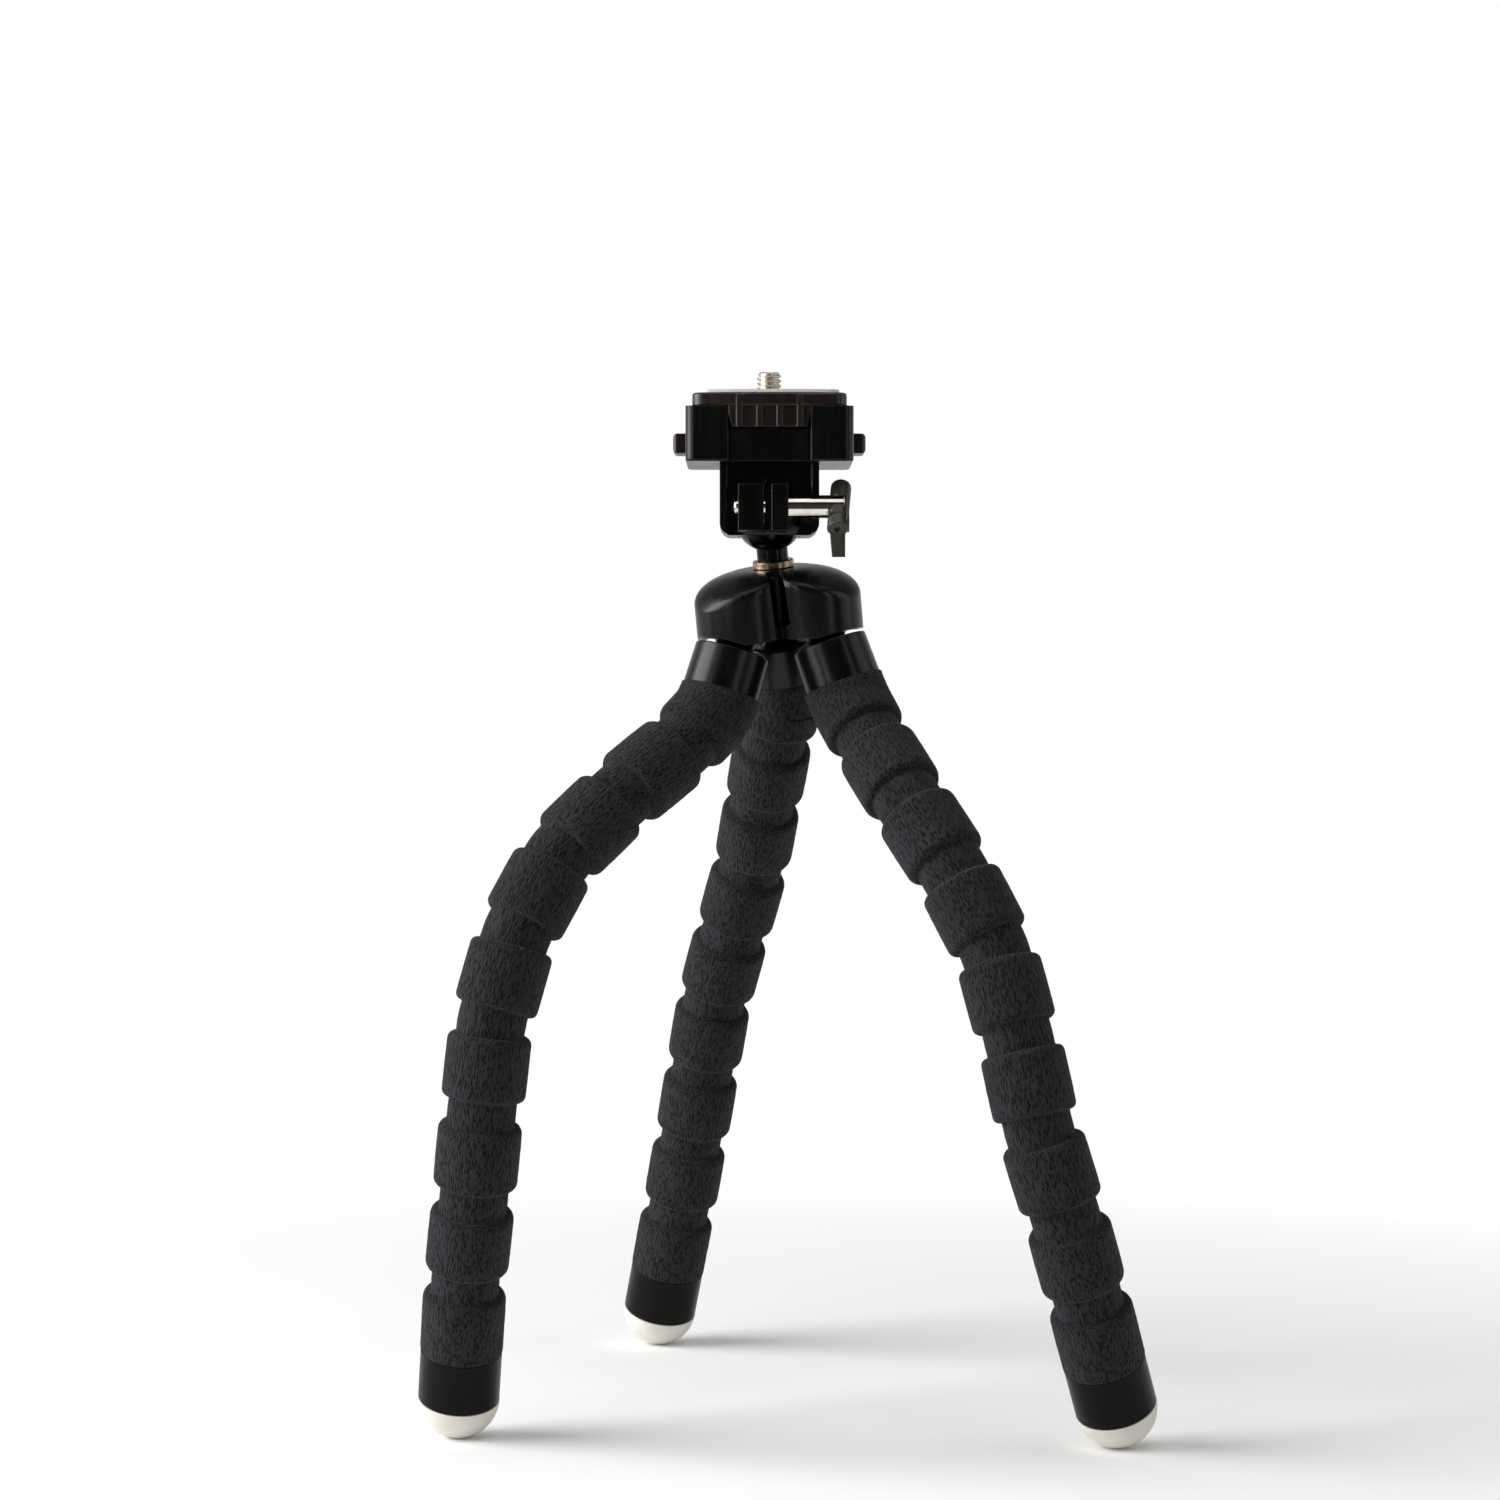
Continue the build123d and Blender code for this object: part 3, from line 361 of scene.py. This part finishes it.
def grid_faces(rows, sides):
    """The faces of a closed skin of rows of points, with a flat end on each side."""
    faces = []
    for row in range(rows - 1):
        for i in range(sides):
            a, b = row * sides + i, row * sides + (i + 1) % sides
            faces.append((a, b, b + sides, a + sides))
    faces.append(tuple(range(sides - 1, -1, -1)))
    faces.append(tuple((rows - 1) * sides + i for i in range(sides)))
    return faces


# Legs: the same headings and sizes as the solids, in millimetres
FOAM_SIDES = 88
FOAM, NECK, RIM, LENGTH, HALF_GROOVE = 10.5, 8.6, 1.8, 16.3, 3.2
PITCH = LENGTH + 2 * HALF_GROOVE
FIRST_BEND, COLLAR_REACH, CAP_LENGTH = 5.0, 15.9, 13.7
COLLAR = {"left": (18, 206), "right": (20, 343), "back": (27, 72)}
FIRST = {"left": (52, 223), "right": (44, 303), "back": (32, 113)}
LAST = {"left": (18, 104), "right": (26, 55), "back": (21, 119)}
BENDS = 8

# The foam's small forms: a fall in the groove's floor, its steep wall, a crown on each ring, an uneven skin
FLOOR_FALL, WALL, WALL_FOOT, CROWN = 0.06, 0.35, 0.1, 0.05
UNEVEN, SWELL, RIPPLE, RIPPLE_SHARE = 0.05, 0.9, 2.3, 0.6

# The foam's first and last edge are a little rounded: how far from the edge, and how much thinner it is there
TOP_EDGE = ((0.0, 0.45), (0.12, 0.15), (0.35, 0.0))
LOW_EDGE = ((0.45, 0.05), (0.15, 0.18), (0.0, 0.5))

# Core wires: their radius, the bend at each joint and how far they reach into the hub and the caps
CORE, CORE_SIDES, CORE_BEND = 1.9, 20, 2.5
CORE_IN_HUB, CORE_SHORT_OF_CAP, CORE_SWIVEL = 10.4, 6, 3


def heading(lean, azimuth):
    lean, azimuth = math.radians(lean), math.radians(azimuth)
    return Vector((math.sin(lean) * math.cos(azimuth), math.sin(lean) * math.sin(azimuth), -math.cos(lean)))


def joint_point(name):
    return Vector(joints[name]["pos_m"]) / MM


def bend_line(corner, before, after, tangent, places):
    """Points and directions along a line that turns at a corner on an arc of this tangent length."""
    angle = before.angle(after, 0.0)
    out = []
    for place in places:
        if angle < 1e-5 or place <= -tangent:
            way = before if place <= 0 else after
            out.append((corner + way * place, way, place))
        elif place >= tangent:
            out.append((corner + after * place, after, place))
        else:
            share = (place + tangent) / (2 * tangent)
            turn = angle * share
            radius = tangent / math.tan(angle / 2)
            side = (after - before * before.dot(after)).normalized()
            start = corner - before * tangent
            centre = start + side * radius
            point = centre - side * radius * math.cos(turn) + before * radius * math.sin(turn)
            out.append((point, (before * math.cos(turn) + side * math.sin(turn)).normalized(), place))
    return out


def straight_line(start, way, places):
    """The same for a line that doesn't turn."""
    return [(start + way * place, way, place) for place in places]


def uneven_skin(flat):
    """How far the foam's skin stands out at a place on the straight leg."""
    place = Vector(flat)
    return UNEVEN * noise.noise(place * SWELL) + RIPPLE_SHARE * UNEVEN * noise.noise(place * RIPPLE)


def tube(name, line, radii, slot, offset=0.0, uneven=False, sides=FOAM_SIDES, spins=None):
    """A lathe-like skin along a line of points and directions, one radius for each.

    spins carries the twist from one sleeve of a leg to the next, so that their patterns meet.
    """
    points, straight = [], []
    spin = spins[-1] if spins else line[0][1].orthogonal().normalized()
    for (centre, way, place), radius in zip(line, radii):
        spin = (spin - way * spin.dot(way)).normalized()
        other = way.cross(spin)
        for i in range(sides):
            turn = 2 * math.pi * i / sides
            flat = (radius * math.cos(turn), radius * math.sin(turn), place + offset)
            grown = radius + (uneven_skin(flat) if uneven else 0.0)
            points.append((centre + (spin * math.cos(turn) + other * math.sin(turn)) * grown) * MM)
            straight.append([c * MM for c in flat])
    if spins is not None:
        spins.append(spin)
    rows = len(line)
    obj = piece(name, points, grid_faces(rows, sides), slot, straight=straight)
    # Hard edges at both ends, so that no line shows where two sleeves meet
    for edge in obj.data.edges:
        edge.use_edge_sharp = max(edge.vertices) < sides or min(edge.vertices) >= (rows - 1) * sides
    return obj


def ring_radius(away):
    """The foam's radius at this distance from the middle of a groove."""
    if away <= HALF_GROOVE - WALL:
        return NECK - FLOOR_FALL * away / HALF_GROOVE
    if away <= HALF_GROOVE:
        return NECK + WALL_FOOT
    inside = away - HALF_GROOVE
    if inside < RIM:
        return FOAM - RIM + math.sqrt(max(RIM**2 - (RIM - inside) ** 2, 0.0))
    middle = (LENGTH / 2 - inside) / (LENGTH / 2 - RIM)
    return FOAM + CROWN - CROWN * min(abs(middle), 1.0) ** 2


def steps(low, high, count):
    return [low + (high - low) * i / count for i in range(count + 1)]


def bend_over_groove(obj):
    """Bake a piece's transform into its mesh, so that it stands where it was built."""
    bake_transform(obj)


def foam_sleeve(name, line, radii, offset, spins):
    return tube(name, line, radii, "foam", offset=offset, uneven=True, spins=spins)


def core_piece(name, line):
    return tube(name, line, [CORE] * len(line), "core_wire", sides=CORE_SIDES)


# Places along a sleeve from the middle of its groove: close together in the groove and over the rim
GROOVE_PLACES = (0.0, 0.8, 1.6, 2.3, 2.85)
RIM_PLACES = (0.0, 0.08, 0.25, 0.55, 0.95, 1.4, RIM)
PAST_RIM, PAST_TOP_EDGE, BEFORE_LOW_EDGE = 0.6, 1, 0.8
side_places = list(GROOVE_PLACES) + [HALF_GROOVE + place for place in RIM_PLACES]
side_places += steps(HALF_GROOVE + RIM + PAST_RIM, HALF_GROOVE + LENGTH / 2, 8)
groove_places = [-place for place in reversed(side_places[1:])] + side_places
groove_radii = [ring_radius(abs(place)) for place in groove_places]

top_places = [away - FIRST_BEND for away, thinner in TOP_EDGE]
top_places += steps(PAST_TOP_EDGE - FIRST_BEND, LENGTH / 2 - FIRST_BEND, 18)
top_radii = [FOAM - thinner for away, thinner in TOP_EDGE]
top_radii += [FOAM] * (len(top_places) - len(top_radii))

foam_end = HALF_GROOVE + LENGTH
end_places = steps(HALF_GROOVE + LENGTH / 2, foam_end - BEFORE_LOW_EDGE, 7)
end_radii = [FOAM] * len(end_places) + [FOAM - thinner for away, thinner in LOW_EDGE]
end_places += [foam_end - away for away, thinner in LOW_EDGE]

# Places along a core wire: close together where it bends
INSIDE_BEND, OUTSIDE_BEND = 2.2, 2.6
core_places = steps(-PITCH / 2, -OUTSIDE_BEND, 3)
core_places += steps(-INSIDE_BEND, INSIDE_BEND, 6) + steps(OUTSIDE_BEND, PITCH / 2, 3)
core_end_places = steps(PITCH / 2, foam_end + CAP_LENGTH - CORE_SHORT_OF_CAP, 4)
core_top_places = steps(-COLLAR_REACH - FIRST_BEND - CORE_IN_HUB, -FIRST_BEND, 14)
core_top_places += steps(1 - FIRST_BEND, FIRST_BEND, 8) + [LENGTH / 2 - FIRST_BEND + HALF_GROOVE]

for leg in LEGS:
    pivot = joint_point(f"{leg}_leg_swivel")
    hinges = [joint_point(f"{leg}_leg_bend_{number}") for number in range(1, BENDS + 1)]
    collar = heading(*COLLAR[leg])
    mouth = pivot + collar * COLLAR_REACH
    corner = mouth + collar * FIRST_BEND
    ways = [heading(*FIRST[leg])]
    ways += [(b - a).normalized() for a, b in zip(hinges, hinges[1:])]
    ways.append(heading(*LAST[leg]))
    spins = []

    line = bend_line(corner, collar, ways[0], FIRST_BEND, top_places)
    top = foam_sleeve(f"{leg}_foam_sleeve_top", line, top_radii, FIRST_BEND - LENGTH, spins)
    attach(top, f"{leg}_leg_1")
    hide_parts(f"{leg}_foam_1")

    for number, hinge in enumerate(hinges, start=1):
        before, after = ways[number - 1], ways[number]
        line = bend_line(hinge, before, after, HALF_GROOVE, groove_places)
        sleeve = foam_sleeve(f"{leg}_foam_sleeve_{number}", line, groove_radii, number * PITCH, spins)
        bend_over_groove(sleeve)
        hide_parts(f"{leg}_foam_{number}", f"{leg}_foam_{number + 1}")

        wire = core_piece(f"{leg}_core_{number}", bend_line(hinge, before, after, CORE_BEND, core_places))
        bend_over_groove(wire)
        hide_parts(f"{leg}_core_wire")

    line = straight_line(hinges[-1], ways[-1], end_places)
    end = foam_sleeve(f"{leg}_foam_sleeve_end", line, end_radii, BENDS * PITCH, spins)
    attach(end, f"{leg}_leg_9")
    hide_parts(f"{leg}_foam_9")

    wire = core_piece(f"{leg}_core_end", straight_line(hinges[-1], ways[-1], core_end_places))
    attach(wire, f"{leg}_leg_9")

    line = bend_line(corner, collar, ways[0], FIRST_BEND, sorted(set(core_top_places)))
    line = [entry for entry in line if entry[2] < (hinges[0] - corner).length - PITCH / 2]
    line.append((hinges[0] - ways[0] * PITCH / 2, ways[0], 0))
    wire = core_piece(f"{leg}_core_top", line)
    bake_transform(wire)


# Camera screw: a quarter inch thread with 20 turns to the inch, on a plain round head
def camera_screw():
    low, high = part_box("camera_screw")
    centre = Vector(((low.x + high.x) / 2, (low.y + high.y) / 2, 0)) / MM
    bottom, top = low.z / MM, high.z / MM
    crest, root, pitch, sides, step = 3.175, 2.56, 1.27, 72, 0.055
    head, shank, corner, head_height, chamfer = 7.0, 3.0, 0.2, 1.8, 0.75
    valley, flank = 0.16, 0.66
    bottom_middle, top_middle = 0.3, 0.05
    profile = (
        (bottom_middle, bottom),
        (head - corner, bottom),
        (head, bottom + corner),
        (head, bottom + head_height - corner),
        (head - corner, bottom + head_height),
        (shank, bottom + head_height),
    )
    rows = [[entry] * sides for entry in profile]
    count = int((top - bottom - head_height) / step)
    for row in range(count + 1):
        z = bottom + head_height + (top - bottom - head_height) * row / count
        entries = []
        for i in range(sides):
            phase = (z / pitch - i / sides) % 1.0
            wave = abs(phase - 0.5) * 2
            radius = root + (crest - root) * min(max((wave - valley) / flank, 0.0), 1.0)
            entries.append((min(radius, crest - chamfer + (top - z)), z))
        rows.append(entries)
    rows.append([(top_middle, top)] * sides)
    points = []
    for row in rows:
        for i, (radius, z) in enumerate(row):
            turn = 2 * math.pi * i / sides
            points.append((centre + Vector((radius * math.cos(turn), radius * math.sin(turn), z))) * MM)
    screw = piece("camera_screw_threaded", points, grid_faces(len(rows), sides), "steel")
    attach(screw, "camera_screw")
    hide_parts("camera_screw")


camera_screw()

# Floor: a round pale table top that fades to white away from the object, in metres
FLOOR_RADIUS = 0.55
FLOOR_SIDES = 96
FLOOR_COLOUR = (0.93, 0.93, 0.93, 1)
FLOOR_GLOW = 0.04
FLOOR_FADE = (0.12, 0.42)


def floor_material():
    look = material_nodes("floor")
    place = look.add("ShaderNodeTexCoord").outputs["Object"]
    length = look.add("ShaderNodeVectorMath", operation="LENGTH")
    look.link(place, length.inputs[0])
    far = look.span(length.outputs["Value"], FLOOR_FADE, (0.0, 1.0))
    path = look.add("ShaderNodeLightPath")
    seen = look.math("MAXIMUM", path.outputs["Is Camera Ray"], path.outputs["Is Glossy Ray"])
    seen = look.math("MAXIMUM", seen, path.outputs["Is Transmission Ray"])
    diffuse = look.add("ShaderNodeBsdfDiffuse")
    diffuse.inputs["Color"].default_value = FLOOR_COLOUR
    glow = look.add("ShaderNodeEmission")
    look.link(look.math("MULTIPLY", seen, FLOOR_GLOW), glow.inputs["Strength"])
    near = look.add("ShaderNodeAddShader")
    look.link(diffuse.outputs[0], near.inputs[0])
    look.link(glow.outputs[0], near.inputs[1])
    white = look.add("ShaderNodeEmission")
    look.link(seen, white.inputs["Strength"])
    both = look.add("ShaderNodeMixShader")
    look.link(look.math("MULTIPLY", far, seen), both.inputs["Fac"])
    look.link(near.outputs[0], both.inputs[1])
    look.link(white.outputs[0], both.inputs[2])
    look.surface(both.outputs[0])
    return look.owner


turns = [math.tau * i / FLOOR_SIDES for i in range(FLOOR_SIDES)]
edge_points = [(FLOOR_RADIUS * math.cos(turn), FLOOR_RADIUS * math.sin(turn), 0) for turn in turns]
floor_mesh = bpy.data.meshes.new("floor")
floor_mesh.from_pydata(edge_points, [], [tuple(range(FLOOR_SIDES))])
floor_mesh.materials.append(floor_material())
floor = bpy.data.objects.new("floor", floor_mesh)
scene.collection.objects.link(floor)

# Room: dim before the object, brighter behind it and dimmer overhead. The camera sees plain white
ROOM_BY_DEPTH = ((-0.35, 0.7), (0.04, 0.65))
ROOM_BY_HEIGHT = ((0.15, 0.6), (1.0, 0.22))
WHITE = 1.0
room = Nodes(bpy.data.worlds.new("studio"), "ShaderNodeOutputWorld")
scene.world = room.owner
way = room.add("ShaderNodeSeparateXYZ")
room.link(room.add("ShaderNodeTexCoord").outputs["Generated"], way.inputs[0])
depth = room.span(way.outputs["Y"], *ROOM_BY_DEPTH, kind="SMOOTHSTEP")
height = room.span(way.outputs["Z"], *ROOM_BY_HEIGHT, kind="SMOOTHSTEP")
path = room.add("ShaderNodeLightPath")
seen = room.math("MAXIMUM", path.outputs["Is Camera Ray"], path.outputs["Is Transmission Ray"])
strength = room.add("ShaderNodeMix")
room.link(seen, strength.inputs["Factor"])
room.link(room.math("MULTIPLY", depth, height), strength.inputs["A"])
strength.inputs["B"].default_value = WHITE
background = room.add("ShaderNodeBackground")
background.inputs["Color"].default_value = (1, 1, 1, 1)
room.link(strength.outputs["Result"], background.inputs["Strength"])
room.surface(background.outputs[0])


def lamp(name, place, aim, size, power):
    """A soft box, in metres and watts, that the camera doesn't see."""
    data = bpy.data.lights.new(name, "AREA")
    data.shape = "RECTANGLE"
    data.size, data.size_y = size
    data.energy = power
    obj = bpy.data.objects.new(name, data)
    obj.location = place
    obj.rotation_euler = (Vector(aim) - Vector(place)).to_track_quat("-Z", "Y").to_euler()
    obj.visible_camera = False
    scene.collection.objects.link(obj)


# Lamps: a strong one on the left, a weak one on the right, one above and two strips in front
lamp("left", (-1.1, -0.23, 0.6), aim=(0, 0, 0.18), size=(1.0, 1.15), power=24)
lamp("right", (1.08, -0.2, 0.6), aim=(0, 0, 0.18), size=(0.7, 1.15), power=2.6)
lamp("top", (0, -0.35, 1.25), aim=(0, -0.1, 0.1), size=(1.2, 1.2), power=5.5)
lamp("left_strip", (-0.68, -0.87, 0.32), aim=(0, 0, 0.2), size=(0.14, 0.8), power=1.1)
lamp("right_strip", (0.68, -0.87, 0.32), aim=(0, 0, 0.2), size=(0.14, 0.8), power=0.8)
